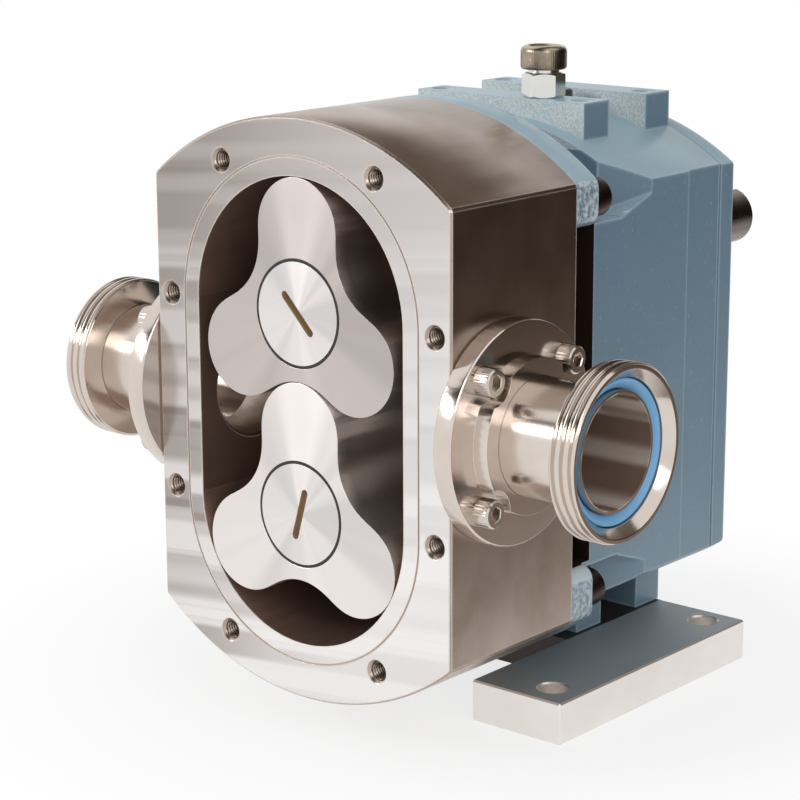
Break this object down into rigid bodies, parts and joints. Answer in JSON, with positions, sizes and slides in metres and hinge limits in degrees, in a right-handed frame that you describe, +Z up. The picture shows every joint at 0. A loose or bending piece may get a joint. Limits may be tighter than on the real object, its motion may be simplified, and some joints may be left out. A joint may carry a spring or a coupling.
{
  "type": "rotary lobe pump",
  "caption": "Rotary lobe pump with lobed rotors in an open-fronted case, side ports with threaded collars, a painted gearbox behind and foot plates below.",
  "frame": {"origin": "floor plane, at the centre of the four floor-bolt holes", "axes": "+X towards the right-hand port seen from the open front, +Y from the open front towards the drive shaft end, +Z up"},
  "size_m": [0.304, 0.3625, 0.3028],
  "materials": {
    "case_steel": "fine machined satin",
    "port_steel": "turned and polished",
    "rotor_steel": "milled satin",
    "nut_steel": "faced on a lathe",
    "screw_steel": "bright stainless",
    "foot_steel": "sawn and milled",
    "shaft_steel": "ground",
    "gear_steel": "hardened and ground",
    "bearing_steel": "ground",
    "dark_steel": "oiled dark",
    "gearbox_paint": "satin blue-grey with light orange peel",
    "blue_rubber": "smooth moulded",
    "black_rubber": "smooth moulded",
    "gasket_fibre": "flat sheet",
    "seal_ceramic": "lapped",
    "nickel": "bright plated",
    "cap_brass": "knurled and aged",
    "oil_glass": "clear"
  },
  "bodies": {
    "housing": {"rotor_case": "case_steel", "port_flange_right": "port_steel", "port_tube_right": "port_steel", "port_collar_right": "port_steel", "port_flange_left": "port_steel", "port_tube_left": "port_steel", "port_collar_left": "port_steel", "port_seal_rings": "blue_rubber", "port_screws": "screw_steel", "gearbox_body": "gearbox_paint", "rear_cover": "gearbox_paint", "cover_gasket": "gasket_fibre", "cover_screws": "dark_steel", "case_bolts": "dark_steel", "case_dowels": "dark_steel", "drain_plug": "dark_steel", "bearing_outer_races": "bearing_steel", "front_lip_seals": "black_rubber", "rear_lip_seal": "black_rubber", "seal_seats": "seal_ceramic", "foot_plate_right": "foot_steel", "foot_plate_left": "foot_steel", "cross_plate": "foot_steel", "base_screws": "dark_steel", "breather_body": "nickel", "breather_cap": "cap_brass", "filler_plug": "dark_steel", "oil_glass": "oil_glass"},
    "drive_line": {"drive_shaft": "shaft_steel", "drive_rotor": "rotor_steel", "drive_rotor_nut": "nut_steel", "drive_nut_ring": "black_rubber", "drive_face_seal": "seal_ceramic", "drive_gear": "gear_steel", "drive_locknut": "dark_steel", "drive_front_inner_race": "bearing_steel", "drive_rear_inner_race": "bearing_steel", "drive_gear_key": "dark_steel", "drive_rotor_key": "dark_steel"},
    "driven_line": {"driven_shaft": "shaft_steel", "driven_rotor": "rotor_steel", "driven_rotor_nut": "nut_steel", "driven_nut_ring": "black_rubber", "driven_face_seal": "seal_ceramic", "driven_gear": "gear_steel", "driven_locknut": "dark_steel", "driven_front_inner_race": "bearing_steel", "driven_rear_inner_race": "bearing_steel", "driven_gear_key": "dark_steel", "driven_rotor_key": "dark_steel"},
    "drive_front_rollers": {"drive_front_rollers": "bearing_steel"},
    "drive_rear_rollers": {"drive_rear_rollers": "bearing_steel"},
    "driven_front_rollers": {"driven_front_rollers": "bearing_steel"},
    "driven_rear_rollers": {"driven_rear_rollers": "bearing_steel"}
  },
  "joints": [
    {"name": "drive_turn", "type": "hinge", "parent": "housing", "child": "drive_line", "pos_m": [0, 0, 0.1952], "axis": [0, 1, 0], "continuous": true},
    {"name": "driven_turn", "type": "hinge", "parent": "housing", "child": "driven_line", "pos_m": [0, 0, 0.1032], "axis": [0, 1, 0], "continuous": true},
    {"name": "drive_front_rollers_turn", "type": "hinge", "parent": "housing", "child": "drive_front_rollers", "pos_m": [0, 0, 0.1952], "axis": [0, 1, 0], "continuous": true},
    {"name": "drive_rear_rollers_turn", "type": "hinge", "parent": "housing", "child": "drive_rear_rollers", "pos_m": [0, 0, 0.1952], "axis": [0, 1, 0], "continuous": true},
    {"name": "driven_front_rollers_turn", "type": "hinge", "parent": "housing", "child": "driven_front_rollers", "pos_m": [0, 0, 0.1032], "axis": [0, 1, 0], "continuous": true},
    {"name": "driven_rear_rollers_turn", "type": "hinge", "parent": "housing", "child": "driven_rear_rollers", "pos_m": [0, 0, 0.1032], "axis": [0, 1, 0], "continuous": true}
  ],
  "couplings": [
    {"joint": "driven_turn", "follows": "drive_turn", "ratio": -1},
    {"joint": "drive_front_rollers_turn", "follows": "drive_turn", "ratio": 0.414},
    {"joint": "drive_rear_rollers_turn", "follows": "drive_turn", "ratio": 0.414},
    {"joint": "driven_front_rollers_turn", "follows": "drive_turn", "ratio": -0.414},
    {"joint": "driven_rear_rollers_turn", "follows": "drive_turn", "ratio": -0.414}
  ]
}
